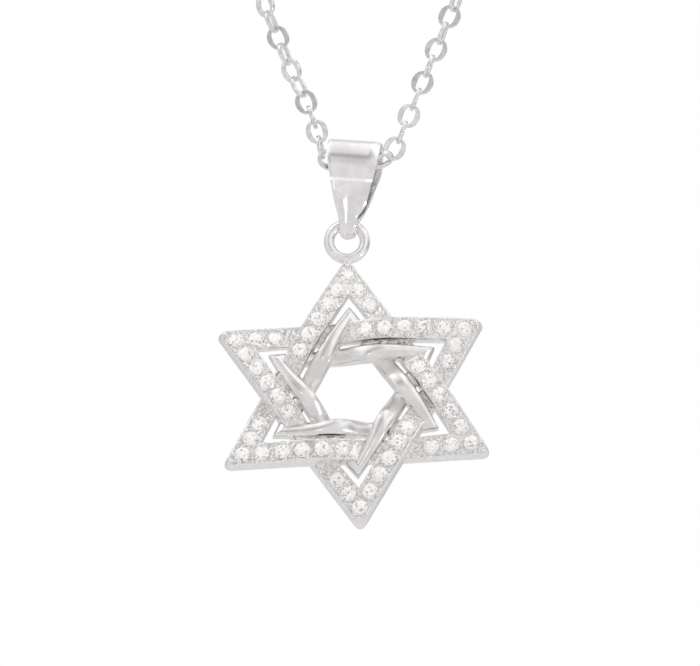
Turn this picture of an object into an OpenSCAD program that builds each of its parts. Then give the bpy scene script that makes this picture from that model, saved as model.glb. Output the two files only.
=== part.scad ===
// Star pendant on a necklace chain: two interlaced triangles, each with a band
// set with round stones and a plain polished bar inside it, hung by a soldered
// ring and a folded sheet bail on a fine link chain with a ring clasp.
// The chain's loop stands in the XZ plane and the star faces -Y. The origin is
// where the loop rests at the back of the neck, under the clasp.

/* [Star] */
// Height of the star from point to point, before its points are rounded
star_h = 21.4; // [16:0.1:30]
// Width of the star from point to point, before its points are rounded
star_w = 20.5; // [16:0.1:30]
// Radius of the rounded points
point_r = 0.45; // [0.3:0.05:0.6]
// How far each side bows outward in its middle
side_bow = 0.15; // [0:0.01:0.4]
// Width of the stone-set band on its front
band_w = 1.6; // [1.45:0.01:2]
// Width of the open slit between a band and its bar, at the points
slit_w = 0.5; // [0.3:0.01:0.8]
// Width of the polished inner bar at its ends
bar_w = 0.8; // [0.6:0.01:1.2]
// How far each edge of the bar swells in the middle of a side
bar_swell = 0.16; // [0:0.01:0.25]
// How much wider the band is at its back, on its outer side
wall_draft = 0.12; // [0.05:0.01:0.3]
// Height of the polished bar's rounded crest
bar_crest = 0.2; // [0.1:0.01:0.3]
// Thickness of the metal at the points
metal_t = 1.15; // [1:0.05:1.8]
// How far the middle of the star stands in front of its points
dome_h = 0.6; // [0.2:0.05:2]
// How far a band rises where it passes over, and sinks where it passes under
weave_h = 0.72; // [0.4:0.02:0.8]
// How far the star has turned in its ring, in degrees
star_turn = 2.85; // [-5:0.05:5]

/* [Stones] */
// Diameter of a round stone
stone_d = 1.22; // [1:0.01:1.25]
// Stones from a point's own stone to the far end of a band's upper stretch
stones_over = 5; // [3:1:5]
// Stones from a point's own stone to where the band passes under
stones_under = 2; // [1:1:2]
// Gap between a stone and its seat
seat_gap = 0.03; // [0.02:0.005:0.05]

/* [Ring and bail] */
// Outer diameter of the ring on the top point
ring_d = 3.46; // [3:0.02:5]
// Thickness of the ring's wire
ring_wire = 0.78; // [0.5:0.02:1]
// How far the ring's underside runs into the top point
ring_sink = 0.17; // [0.1:0.01:0.6]
// How far the ring sits to the right of the top point's middle
ring_side = 0.09; // [-0.2:0.01:0.2]
// Height of the bail from its lower bend to its top
bail_h = 7.65; // [6:0.05:12]
// Width of the bail at its top
bail_top_w = 3.95; // [3:0.05:6]
// Width of the bail at its lower bend
bail_low_w = 1.15; // [0.8:0.05:1.4]
// Depth of the bail from front to back at its top
bail_depth = 4; // [3.4:0.05:5]
// Thickness of the bail's sheet
bail_sheet = 0.48; // [0.3:0.02:0.6]
// Room between the ring's wire and the bail's lower bend
bend_gap = 0.27; // [0.2:0.01:0.3]
// How far the bail leans to the right, in degrees
bail_lean = 5.5; // [-6:0.1:6]
// How far the bail has twisted on the chain, in degrees
bail_twist = 5; // [-12:0.5:12]

/* [Chain] */
// Length of the whole loop with its clasp
chain_length = 450; // [400:10:600]
// Outer width of the chain's links
chain_d = 1.54; // [1.2:0.02:1.9]
// Angle between each hanging strand and the vertical, in degrees
strand_angle = 21.5; // [15:0.5:28]
// Radius of the bend where a strand turns into the bail
chain_bend_r = 1.8; // [1.6:0.1:3]
// How far the bail has slid to the left along the chain
bail_slide = 0.12; // [0:0.02:0.2]
// Room between the chain and the inside of the bail's top
chain_gap = 0.5; // [0.4:0.02:0.8]

/* [Clasp] */
// Outer diameter of the clasp's ring
clasp_d = 5; // [4.6:0.1:8]
// Thickness of the clasp's ring
clasp_wire = 0.8; // [0.6:0.05:1]
// Room left between the chain's ends and the clasp
end_gap = 0.15; // [0.1:0.01:0.3]

/* [Hidden] */
silver = "#d9dade";
stone_tint = "#eef2f6";
round_fn = 48;
cut_fn = 24;

// Star: places measured inward from the outer edge, square to a side
band_out = wall_draft;
band_in = band_out + band_w;
bar_out = band_in + slit_w;
bar_in = bar_out + bar_w;
stone_line = band_out + band_w / 2;
half_h = star_h / 2;
half_w = star_w / 2;
apex_half = atan(half_w / (half_h + half_h / 2));
base_half = (90 - apex_half) / 2;
// A side is cut at these shares near each corner, so that the corner can be round
corner_shares = [0, 0.009, 0.026];
side_steps = 13;
back_weave = 0.35;
dome_power = 4;
UPRIGHT = 1;
INVERTED = -1;

// Stones, as shares of the diameter
table_share = 0.56;
crown_share = 0.16;
pavilion_share = 0.44;
crown_sides = 8;
// Distance between neighbouring stones, as a share of the side
stone_pitch_share = 0.088;
girdle_depth = 0.06;
// Seat: how far its bore rises, its drilled hole's radius as a share of the bore's,
// and where its cone ends as a share of the stone's depth
seat_rise = 2;
drill_share = 1 / 3;
cone_share = 0.8;

// Ring, bail and chain, placed from the chain's lowest point upward and downward
ring_r = (ring_d - ring_wire) / 2;
bend_in_r = ring_wire / 2 + bend_gap;
bend_out_r = bend_in_r + bail_sheet;
bail_top_r = bail_depth / 2;
chain_below_top = bail_sheet + chain_gap + chain_d / 2;
bend_to_chain = bail_h - bend_out_r - chain_below_top;
// The bail's straight sides cross its round ends just inside the tangent
tangent_share = 0.995;
nose_steps = 6;
// Half widths and heights of the bail above its nose, as shares of its top width and height
bail_flare = [[0.215, 0.1], [0.26, 0.15], [0.33, 0.29], [0.39, 0.41], [0.48, 0.59], [0.5, 0.68], [0.5, 1]];
cut_spare = 2;
ring_over_star = half_h - point_r / sin(apex_half) + point_r - ring_sink + ring_d / 2;
ring_depth = -0.45;

// Loop of the chain: run, bend, straight strand and arc, from its lowest point up
run = 1.27;
turn_out = 90 - strand_angle;
turn_over = 180 - turn_out;
bend_len = chain_bend_r * turn_out * PI / 180;
arc_share = turn_over * PI / 180;
lever = (run + chain_bend_r * sin(turn_out)) / sin(strand_angle);
loop_r = (chain_length / 2 - run - bend_len + lever) / (arc_share + sin(turn_out) / sin(strand_angle));
strand_len = loop_r * sin(turn_out) / sin(strand_angle) - lever;
loop_h = chain_bend_r * (1 - cos(turn_out)) + strand_len * cos(strand_angle)
       + loop_r * (1 + cos(turn_out));
chain_top_z = clasp_d / 2;
chain_low_z = chain_top_z - loop_h;
tube_sides = 8;
bend_steps = 3;
strand_steps = 3;
arc_steps = 14;

// Clasp, with the eye that holds the chain's left end
clasp_r = (clasp_d - clasp_wire) / 2;
eye_d = 2;
eye_wire = 0.5;
eye_sink = 0.35;
eye_x = eye_sink - (clasp_d + eye_d) / 2;
trigger_d = 0.7;
trigger_h = 1.3;
trigger_angle = 30;

function mix(a, b, t) = a + (b - a) * t;
function unit(v) = v / norm(v);

// Corners of an upright triangle, moved in from its sides by inset
function corners(inset) =
    let (top = half_h - inset / sin(apex_half),
         low = -half_h / 2 + inset,
         half = (top - low) * tan(apex_half))
    [[0, top], [-half, low], [half, low]];

// Fillet of a corner: a point outside its arc is drawn in to the arc
function rounded(p, centre, r) =
    norm(p - centre) > r ? centre + r * unit(p - centre) : p;
function near_corner(k) = k == 0 ? apex_half : base_half;
function soften(p, k, f, inset) =
    let (first = f < 0.5,
         corner = first ? k : (k + 1) % 3,
         centre = corners(inset + point_r)[corner],
         reach = point_r / tan(near_corner(corner)),
         tip = corners(inset)[corner])
    norm(p - tip) < reach ? rounded(p, centre, point_r) : p;

// Direction square to side k, away from the middle
function outward(k) = k == 0 ? [-cos(apex_half), sin(apex_half)]
    : k == 1 ? [0, -1] : [cos(apex_half), sin(apex_half)];

// Shares along a side: close together at both corners
side_shares = concat(
    corner_shares,
    [for (i = [1 : side_steps - 1])
        mix(corner_shares[2], 1 - corner_shares[2], i / side_steps)],
    [1 - corner_shares[2], 1 - corner_shares[1]]);

// 0 at a side's corners and 1 in its middle
function middling(f) = 4 * f * (1 - f);
function on_side(k, f, inset, round) =
    let (c = corners(inset),
         straight = mix(c[k], c[(k + 1) % 3], f),
         p = round ? soften(straight, k, f, inset) : straight)
    p + side_bow * middling(f) * outward(k);

// Height of the front over the points' plane: a dome, and the over and under weave
function regular(p) = [p.x * cos(30) * half_h / half_w, p.y];
function weave(p) = let (q = regular(p)) cos(3 * atan2(q.y, q.x));
function dome(p) = 1 - pow(norm(regular(p)) / half_h, dome_power);
function front(p) = dome_h * dome(p) + weave_h * weave(p);
function back(p) = dome_h * dome(p) + weave_h * back_weave * weave(p) - metal_t;
function front_slope(p, d = 0.05) =
    [(front(p + [d, 0]) - front(p - [d, 0])) / (2 * d),
     (front(p + [0, d]) - front(p - [0, d])) / (2 * d)];

// The point p of the face at height h over the points' plane, in the pendant's frame
function face_point(p, h) = [p.x, -h, p.y];

// A closed loop of sections joined into one solid
module section_loop(sections) {
    n = len(sections);
    m = len(sections[0]);
    polyhedron(
        points = [for (s = sections) each s],
        faces = [for (i = [0 : n - 1]) for (j = [0 : m - 1])
            let (a = i * m + j,
                 b = i * m + (j + 1) % m,
                 c = ((i + 1) % n) * m + (j + 1) % m,
                 d = ((i + 1) % n) * m + j)
            each [[a, b, c], [a, c, d]]],
        convexity = 10);
}

// Section of the stone-set band: flat front, outer wall flared to the back
function band_section(k, f) =
    let (outer = on_side(k, f, band_out, true),
         inner = on_side(k, f, band_in, false),
         flare = on_side(k, f, 0, true))
    [face_point(outer, front(outer)), face_point(inner, front(inner)),
     face_point(inner, back(inner)), face_point(flare, back(flare))];

// Section of the polished bar: a crest between two edges
function bar_section(k, f) =
    let (swell = bar_swell * middling(f) * outward(k),
         inner = on_side(k, f, bar_in, false) - swell,
         outer = on_side(k, f, bar_out, false) + swell,
         middle = (outer + inner) / 2)
    [face_point(outer, front(outer) - bar_crest), face_point(middle, front(middle)),
     face_point(inner, front(inner) - bar_crest),
     face_point(inner, back(inner)), face_point(outer, back(outer))];

module band_loop() {
    section_loop([for (k = [0 : 2]) for (f = side_shares) band_section(k, f)]);
}

module bar_loop() {
    section_loop([for (k = [0 : 2]) for (f = side_shares) bar_section(k, f)]);
}

// The inverted triangle is the upright one turned half round in the face
module as_triangle(way) {
    rotate([0, way == UPRIGHT ? 0 : 180, 0]) children();
}

// Stones of one triangle: each point's own stone, then those along its two sides
function stone_places() =
    [for (k = [0 : 2])
        each concat(
            [for (i = [0 : stones_over]) on_side(k, stone_pitch_share * i, stone_line, false)],
            [for (i = [1 : stones_under])
                on_side((k + 2) % 3, 1 - stone_pitch_share * i, stone_line, false)])];

// Places children on the face at p, with their Z axis square to the surface
module on_face(p) {
    slope = front_slope(p);
    out = unit([-slope.x, -1, -slope.y]);
    translate(face_point(p, front(p)))
        rotate([0, acos(out.z), atan2(out.y, out.x)])
            children();
}

// Round cut stone: table, star and kite facets on the crown, and the pavilion
module stone() {
    r = stone_d / 2;
    n = crown_sides;
    top = [for (i = [0 : n - 1])
        [table_share * r * cos(360 * i / n), table_share * r * sin(360 * i / n), crown_share * stone_d]];
    girdle = [for (i = [0 : 2 * n - 1]) [r * cos(180 * i / n), r * sin(180 * i / n), 0]];
    culet = [[0, 0, -pavilion_share * stone_d]];
    polyhedron(
        points = concat(top, girdle, culet),
        faces = concat(
            [[for (i = [n - 1 : -1 : 0]) i]],
            [for (i = [0 : n - 1])
                let (t = i, u = (i + 1) % n, g = n + 2 * i, h = n + (2 * i + 1) % (2 * n),
                     e = n + (2 * i + 2) % (2 * n))
                each [[t, u, h], [t, h, g], [u, e, h]]],
            [for (i = [0 : 2 * n - 1]) [n + i, n + (i + 1) % (2 * n), 3 * n]]));
}

module seated_stone(p) {
    on_face(p) translate([0, 0, -girdle_depth]) rotate([0, 0, 180 / crown_sides]) stone();
}

// Cut for one stone: a straight bore down to the girdle, then a cone, then a hole through
module seat_cut(p) {
    r = stone_d / 2 + seat_gap;
    low = girdle_depth + pavilion_share * stone_d;
    hole_r = drill_share * r;
    on_face(p)
        rotate_extrude($fn = cut_fn)
            polygon([[0, seat_rise], [r, seat_rise], [r, -girdle_depth - seat_gap],
                     [hole_r, -low * cone_share], [hole_r, -low - seat_rise], [0, -low - seat_rise]]);
}

module ring() {
    translate([ring_side, -ring_depth, ring_over_star])
        rotate([90, 0, 0])
            rotate_extrude($fn = round_fn)
                translate([ring_r, 0]) circle(d = ring_wire, $fn = cut_fn);
}

// The star hangs from its ring, turned a little about the ring's middle
module hang_star() {
    translate(ring_pivot - [0, 0, ring_r])
        rotate([0, -star_turn, 0])
            translate([-ring_side, ring_depth, -ring_over_star])
                children();
}

module star_frame() {
    color(silver) hang_star() difference() {
        union() {
            for (way = [UPRIGHT, INVERTED]) as_triangle(way) {
                band_loop();
                bar_loop();
            }
            ring();
        }
        for (way = [UPRIGHT, INVERTED]) as_triangle(way)
            for (p = stone_places()) seat_cut(p);
    }
}

module stones(way) {
    color(stone_tint) hang_star() as_triangle(way)
        for (p = stone_places()) seated_stone(p);
}

// Middle of the bail's bend, and the middle of the ring's upper wire inside it
pivot = [-bail_slide - bend_to_chain * sin(bail_lean), 0, chain_low_z - bend_to_chain * cos(bail_lean)];
ring_pivot = pivot - [(bend_in_r + bail_sheet / 2) * sin(bail_lean), 0, 0];

// Side view of the bail: a round top and a round bend joined by straight sides
module bail_side(top_r, bend_r, top_z) {
    tilt = asin((top_r - bend_r) / top_z);
    touch = tangent_share * [cos(tilt), sin(tilt)];
    translate([0, top_z]) circle(r = top_r, $fn = round_fn);
    circle(r = bend_r, $fn = round_fn);
    polygon([[bend_r * touch.x, -bend_r * touch.y], [top_r * touch.x, top_z - top_r * touch.y],
             [-top_r * touch.x, top_z - top_r * touch.y], [-bend_r * touch.x, -bend_r * touch.y]]);
}

// Front view of the bail: half widths at heights over the pivot, above a round nose
nose_z = -bend_out_r + bail_low_w / 2;
bail_profile = [
    for (i = [0.5 : nose_steps])
        let (a = 90 * i / nose_steps) [bail_low_w / 2 * sin(a), nose_z - bail_low_w / 2 * cos(a)],
    [bail_low_w / 2, ring_wire / 2],
    for (share = bail_flare) [share.x * bail_top_w, share.y * bail_h]];
module bail_outline() {
    n = len(bail_profile) - 1;
    polygon(concat(bail_profile,
        [for (i = [n : -1 : 0]) [-bail_profile[i].x, bail_profile[i].y]]));
}

module bail() {
    top_z = bail_h - bend_out_r - bail_top_r;
    color(silver) translate(pivot) rotate([0, bail_lean, 0]) rotate([0, 0, -bail_twist])
        intersection() {
            rotate([90, 0, 90])
                linear_extrude(height = bail_top_w + cut_spare, center = true)
                    difference() {
                        bail_side(bail_top_r, bend_out_r, top_z);
                        bail_side(bail_top_r - bail_sheet, bend_in_r, top_z);
                    }
            rotate([90, 0, 0])
                linear_extrude(height = bail_depth + cut_spare, center = true) bail_outline();
        }
}

// Centre line of half the loop, at length s up from the lowest point, with its heading
function loop_point(s) =
    s <= run ? [s, 0, 0]
    : s <= run + bend_len
        ? let (a = (s - run) / chain_bend_r * 180 / PI)
          [run + chain_bend_r * sin(a), chain_bend_r * (1 - cos(a)), a]
    : s <= run + bend_len + strand_len
        ? let (b = loop_point(run + bend_len), t = s - run - bend_len)
          [b.x + t * sin(strand_angle), b.y + t * cos(strand_angle), turn_out]
    : let (b = loop_point(run + bend_len + strand_len),
           a = (s - run - bend_len - strand_len) / loop_r * 180 / PI)
      [b.x + loop_r * (sin(turn_out + a) - sin(turn_out)),
       b.y + loop_r * (cos(turn_out) - cos(turn_out + a)), turn_out + a];

// Stations of the chain's tube on one side, and how far short of the top it ends
function stations(short) =
    let (bend_end = run + bend_len, arc_start = bend_end + strand_len,
         end = chain_length / 2 - short)
    concat([run],
        [for (i = [1 : bend_steps]) run + bend_len * i / bend_steps],
        [for (i = [1 : strand_steps]) bend_end + strand_len * i / strand_steps],
        [for (i = [1 : arc_steps]) mix(arc_start, end, i / arc_steps)]);

function tube_ring(s, side) =
    let (p = loop_point(s), out = [-side * sin(p.z), 0, cos(p.z)])
    [for (j = [0 : tube_sides - 1])
        let (a = 360 * j / tube_sides)
        [side * p.x, 0, chain_low_z + p.y] + chain_d / 2 * (cos(a) * out + sin(a) * [0, 1, 0])];

// The chain's envelope: one tube swept along the loop, open between its two ends
module chain() {
    left = stations(-eye_x + eye_d / 2 + end_gap);
    right = stations(clasp_d / 2 + end_gap);
    rings = concat(
        [for (i = [len(left) - 1 : -1 : 0]) tube_ring(left[i], -1)],
        [for (s = right) tube_ring(s, 1)]);
    n = len(rings);
    m = tube_sides;
    color(silver) polyhedron(
        points = [for (r = rings) each r],
        faces = concat(
            [[for (j = [0 : m - 1]) j]],
            [[for (j = [m - 1 : -1 : 0]) (n - 1) * m + j]],
            [for (i = [0 : n - 2]) for (j = [0 : m - 1])
                let (a = i * m + j, b = i * m + (j + 1) % m)
                each [[a, a + m, b + m], [a, b + m, b]]]),
        convexity = 10);
}

module wire_ring(r, wire) {
    rotate_extrude($fn = round_fn) translate([r, 0]) circle(d = wire, $fn = cut_fn);
}

// Ring clasp with its eye and its thumb pin, as one piece
module clasp() {
    color(silver) translate([0, 0, chain_top_z]) {
        rotate([90, 0, 0]) wire_ring(clasp_r, clasp_wire);
        translate([eye_x, 0, 0]) rotate([90, 0, 0]) wire_ring((eye_d - eye_wire) / 2, eye_wire);
        rotate([0, trigger_angle, 0])
            translate([0, 0, clasp_r]) cylinder(d = trigger_d, h = trigger_h, $fn = cut_fn);
    }
}

chain();
clasp();
bail();
star_frame();
stones(UPRIGHT);  // stones_upright
stones(INVERTED);  // stones_inverted
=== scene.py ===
"""Looks of the star pendant: real chain links, set stones, polished metal and a soft white studio.

Lengths are in millimetres until a piece is put in its place, and the values that place
things repeat those of the CAD source.
"""

import math

import bpy
import numpy as np
from mathutils import Matrix, Vector

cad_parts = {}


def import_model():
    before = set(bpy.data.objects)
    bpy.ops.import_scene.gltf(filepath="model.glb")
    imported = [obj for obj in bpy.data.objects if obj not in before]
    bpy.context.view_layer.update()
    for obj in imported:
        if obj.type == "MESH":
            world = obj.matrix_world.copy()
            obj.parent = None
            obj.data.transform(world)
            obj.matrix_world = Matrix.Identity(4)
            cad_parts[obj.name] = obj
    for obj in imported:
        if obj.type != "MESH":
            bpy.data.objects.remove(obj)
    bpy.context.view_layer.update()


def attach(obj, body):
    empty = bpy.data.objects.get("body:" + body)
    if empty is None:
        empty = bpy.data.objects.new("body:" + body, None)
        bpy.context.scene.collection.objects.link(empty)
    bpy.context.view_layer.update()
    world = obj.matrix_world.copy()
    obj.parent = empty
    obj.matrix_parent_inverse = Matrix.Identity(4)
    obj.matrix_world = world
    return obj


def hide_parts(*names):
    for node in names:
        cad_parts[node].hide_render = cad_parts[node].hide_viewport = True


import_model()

MM = 0.001
# The one source of random draws, seeded so that every run is alike
rng = np.random.default_rng(7)


def sind(a):
    """Sine of an angle in degrees."""
    return math.sin(math.radians(a))


def cosd(a):
    """Cosine of an angle in degrees."""
    return math.cos(math.radians(a))


def tand(a):
    """Tangent of an angle in degrees."""
    return math.tan(math.radians(a))


# ---- Values of the CAD source
STAR_H, STAR_W = 21.4, 20.5
POINT_R, SIDE_BOW = 0.45, 0.15
BAND_W, SLIT_W, BAR_W, BAR_SWELL = 1.6, 0.5, 0.8, 0.16
WALL_DRAFT, BAR_CREST, METAL_T = 0.12, 0.2, 1.15
DOME_H, WEAVE_H, BACK_WEAVE, DOME_POWER = 0.6, 0.72, 0.35, 4
STAR_TURN = 2.85
STONE_D, STONES_OVER, STONES_UNDER, SEAT_GAP = 1.22, 5, 2, 0.03
STONE_PITCH, GIRDLE_DEPTH = 0.088, 0.06
TABLE, CROWN, PAVILION = 0.56, 0.16, 0.44
RING_D, RING_WIRE, RING_SINK, RING_SIDE, RING_DEPTH = 3.46, 0.78, 0.17, 0.09, -0.45
BAIL_H, BAIL_TOP_W, BAIL_LOW_W, BAIL_DEPTH = 7.65, 3.95, 1.15, 4.0
BAIL_SHEET, BEND_GAP, BAIL_LEAN, BAIL_TWIST = 0.48, 0.27, 5.5, 5.0
CHAIN_LENGTH, CHAIN_D, STRAND_ANGLE = 450.0, 1.54, 21.5
CHAIN_BEND_R, BAIL_SLIDE, CHAIN_GAP, RUN = 1.8, 0.12, 0.5, 1.27
CLASP_D, CLASP_WIRE, EYE_D, EYE_WIRE, EYE_SINK = 5.0, 0.8, 2.0, 0.5, 0.35
TRIGGER_D, TRIGGER_H, TRIGGER_ANGLE = 0.7, 1.3, 30

BAND_OUT = WALL_DRAFT
BAND_IN = BAND_OUT + BAND_W
BAR_OUT = BAND_IN + SLIT_W
BAR_IN = BAR_OUT + BAR_W
STONE_LINE = BAND_OUT + BAND_W / 2
HALF_H, HALF_W = STAR_H / 2, STAR_W / 2
APEX = math.degrees(math.atan(HALF_W / (1.5 * HALF_H)))
BASE = (90 - APEX) / 2

RING_R = (RING_D - RING_WIRE) / 2
BEND_IN_R = RING_WIRE / 2 + BEND_GAP
BEND_OUT_R = BEND_IN_R + BAIL_SHEET
BAIL_TOP_R = BAIL_DEPTH / 2
BAIL_TOP_Z = BAIL_H - BEND_OUT_R - BAIL_TOP_R
BEND_TO_CHAIN = BAIL_H - BEND_OUT_R - (BAIL_SHEET + CHAIN_GAP + CHAIN_D / 2)
RING_OVER_STAR = HALF_H - POINT_R / sind(APEX) + POINT_R - RING_SINK + RING_D / 2

TURN_OUT = 90 - STRAND_ANGLE
BEND_LEN = math.radians(CHAIN_BEND_R * TURN_OUT)
LEVER = (RUN + CHAIN_BEND_R * sind(TURN_OUT)) / sind(STRAND_ANGLE)
LOOP_R = (CHAIN_LENGTH / 2 - RUN - BEND_LEN + LEVER) / (
    math.radians(180 - TURN_OUT) + sind(TURN_OUT) / sind(STRAND_ANGLE))
STRAND_LEN = LOOP_R * sind(TURN_OUT) / sind(STRAND_ANGLE) - LEVER
LOOP_H = (CHAIN_BEND_R * (1 - cosd(TURN_OUT)) + STRAND_LEN * cosd(STRAND_ANGLE)
          + LOOP_R * (1 + cosd(TURN_OUT)))
CHAIN_TOP_Z = CLASP_D / 2
CHAIN_LOW_Z = CHAIN_TOP_Z - LOOP_H

PIVOT = Vector((-BAIL_SLIDE - BEND_TO_CHAIN * sind(BAIL_LEAN), 0,
                CHAIN_LOW_Z - BEND_TO_CHAIN * cosd(BAIL_LEAN)))
RING_PIVOT = PIVOT - Vector(((BEND_IN_R + BAIL_SHEET / 2) * sind(BAIL_LEAN), 0, 0))
HANG_STAR = (Matrix.Translation(RING_PIVOT - Vector((0, 0, RING_R)))
             @ Matrix.Rotation(math.radians(-STAR_TURN), 4, "Y")
             @ Matrix.Translation((-RING_SIDE, RING_DEPTH, -RING_OVER_STAR)))
HANG_BAIL = (Matrix.Translation(PIVOT)
             @ Matrix.Rotation(math.radians(BAIL_LEAN), 4, "Y")
             @ Matrix.Rotation(math.radians(-BAIL_TWIST), 4, "Z"))


# ---- Meshes
def mesh_object(name, points, faces):
    """A mesh object from points and faces."""
    mesh = bpy.data.meshes.new(name)
    mesh.from_pydata([tuple(p) for p in points], [], [tuple(f) for f in faces])
    mesh.update()
    obj = bpy.data.objects.new(name, mesh)
    bpy.context.scene.collection.objects.link(obj)
    return obj


def face_outward(obj):
    """Turns a closed mesh right side out if its volume comes out negative."""
    mesh = obj.data
    mesh.calc_loop_triangles()
    co = np.array([v.co for v in mesh.vertices])
    tri = np.array([t.vertices[:] for t in mesh.loop_triangles])
    a, b, c = co[tri[:, 0]], co[tri[:, 1]], co[tri[:, 2]]
    if np.einsum("ij,ij->i", a, np.cross(b, c)).sum() < 0:
        mesh.flip_normals()
    return obj


def loop_faces(n, m):
    """Faces between n sections of m points each, the last section joined to the first."""
    faces = []
    for i in range(n):
        for j in range(m):
            a, b = i * m + j, i * m + (j + 1) % m
            c, d = ((i + 1) % n) * m + (j + 1) % m, ((i + 1) % n) * m + j
            faces.append((a, b, c, d))
    return faces


def section_loop(name, sections):
    """Closed solid through sections of equally many points, the last joined to the first."""
    n, m = len(sections), len(sections[0])
    return face_outward(mesh_object(name, [p for s in sections for p in s], loop_faces(n, m)))


def joined(name, parts):
    """One mesh object from (points, faces) pairs."""
    points, faces, base = [], [], 0
    for pts, fcs in parts:
        points.extend(pts)
        faces.extend(tuple(i + base for i in f) for f in fcs)
        base += len(pts)
    return mesh_object(name, points, faces)


def combine(target, other, operation):
    """Boolean of two closed meshes without its empty material slot; removes the second one."""
    mod = target.modifiers.new("combine", "BOOLEAN")
    mod.operation, mod.object, mod.solver = operation, other, "MANIFOLD"
    graph = bpy.context.evaluated_depsgraph_get()
    mesh = bpy.data.meshes.new_from_object(target.evaluated_get(graph))
    mesh.materials.clear()
    target.modifiers.clear()
    old, target.data = target.data, mesh
    bpy.data.meshes.remove(old)
    bpy.data.objects.remove(other)
    return target


def lathe(profile, steps):
    """Points and faces of a solid turned about Z; the profile starts and ends on the axis."""
    ring = profile[1:-1]
    points = [(0, 0, profile[0][1])]
    for r, z in ring:
        points += [(r * cosd(360 * i / steps), r * sind(360 * i / steps), z) for i in range(steps)]
    points.append((0, 0, profile[-1][1]))
    last, faces = len(points) - 1, []
    for i in range(steps):
        k = (i + 1) % steps
        faces.append((0, 1 + k, 1 + i))
        for j in range(len(ring) - 1):
            a = 1 + j * steps
            faces.append((a + i, a + k, a + steps + k, a + steps + i))
        a = 1 + (len(ring) - 1) * steps
        faces.append((last, a + i, a + k))
    return points, faces


def torus(ring_r, wire_r, around, section):
    """Points and faces of a torus in the XZ plane."""
    points = []
    for i in range(around):
        a = 360 * i / around
        for j in range(section):
            b = 360 * j / section
            r = ring_r + wire_r * cosd(b)
            points.append((r * cosd(a), wire_r * sind(b), r * sind(a)))
    return points, loop_faces(around, section)


def moved(part, matrix):
    """A (points, faces) pair with its points moved by a matrix."""
    return [tuple(matrix @ Vector(p)) for p in part[0]], part[1]


def crisp(obj, angle):
    """Smooth shading with edges sharper than angle kept."""
    obj.data.shade_smooth()
    obj.data.set_sharp_from_angle(angle=math.radians(angle))


def to_frame(obj, place):
    """Puts a mesh made in millimetres in its place, in metres."""
    obj.data.transform(Matrix.Scale(MM, 4) @ place)
    obj.data.update()


# ---- The star's form, as in the CAD source
def corners(inset):
    """Top, left and right corner of the upright triangle, moved in by inset."""
    top, low = HALF_H - inset / sind(APEX), -HALF_H / 2 + inset
    half = (top - low) * tand(APEX)
    return np.array([[0, top], [-half, low], [half, low]])


# Outward direction of the left, lowest and right side of the upright triangle
OUTWARD = np.array([[-cosd(APEX), sind(APEX)], [0, -1], [cosd(APEX), sind(APEX)]])


def soften(p, k, f, inset):
    """Rounds a point of side k that lies near a corner."""
    corner = k if f < 0.5 else (k + 1) % 3
    centre, tip = corners(inset + POINT_R)[corner], corners(inset)[corner]
    reach = POINT_R / tand(APEX if corner == 0 else BASE)
    away = p - centre
    far = np.linalg.norm(away)
    if np.linalg.norm(p - tip) < reach and far > POINT_R:
        return centre + POINT_R * away / far
    return p


def middling(f):
    """1 at the middle of a side and 0 at its ends."""
    return 4 * f * (1 - f)


def on_side(k, f, inset, rounded=False):
    """Point of side k at share f, moved in by inset and bowed outward."""
    c = corners(inset)
    p = c[k] + (c[(k + 1) % 3] - c[k]) * f
    if rounded:
        p = soften(p, k, f, inset)
    return p + SIDE_BOW * middling(f) * OUTWARD[k]


def regular(p):
    """The point as it would lie if the star were regular."""
    return np.array([p[0] * cosd(30) * HALF_H / HALF_W, p[1]])


def weave(p):
    """Rise of the upright triangle over and under the other, from -1 to 1."""
    q = regular(p)
    return math.cos(3 * math.atan2(q[1], q[0]))


def dome(p):
    """Rise of the whole star, 1 in the middle and falling toward the points."""
    return 1 - (np.linalg.norm(regular(p)) / HALF_H) ** DOME_POWER


def front(p):
    """Height of the front face."""
    return DOME_H * dome(p) + WEAVE_H * weave(p)


def back(p):
    """Height of the back face."""
    return DOME_H * dome(p) + WEAVE_H * BACK_WEAVE * weave(p) - METAL_T


def face_point(p, h):
    """The star faces -Y, so a height h toward the viewer is -h along Y."""
    return (p[0], -h, p[1])


# Where the sections of a band or bar stand along each side, closer together at the corners
CORNER_SHARES = [0, 0.003, 0.006, 0.009, 0.013, 0.018, 0.026]
SIDE_FROM, SIDE_RUN, SIDE_STEPS = 0.026, 0.948, 56
SHARES = (CORNER_SHARES
          + [SIDE_FROM + SIDE_RUN * i / SIDE_STEPS for i in range(1, SIDE_STEPS)]
          + [1 - f for f in reversed(CORNER_SHARES[1:])])

# Rounding of a band's edges, its plain rims, and the depth of its sunk field
EDGE_R, EDGE_SHARE = 0.07, 0.3
RIM, RIM_SLOPE, INNER_FOOT, INNER_TOP = 0.15, 0.03, 0.01, 0.05
FIELD_DROP = 0.07


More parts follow.
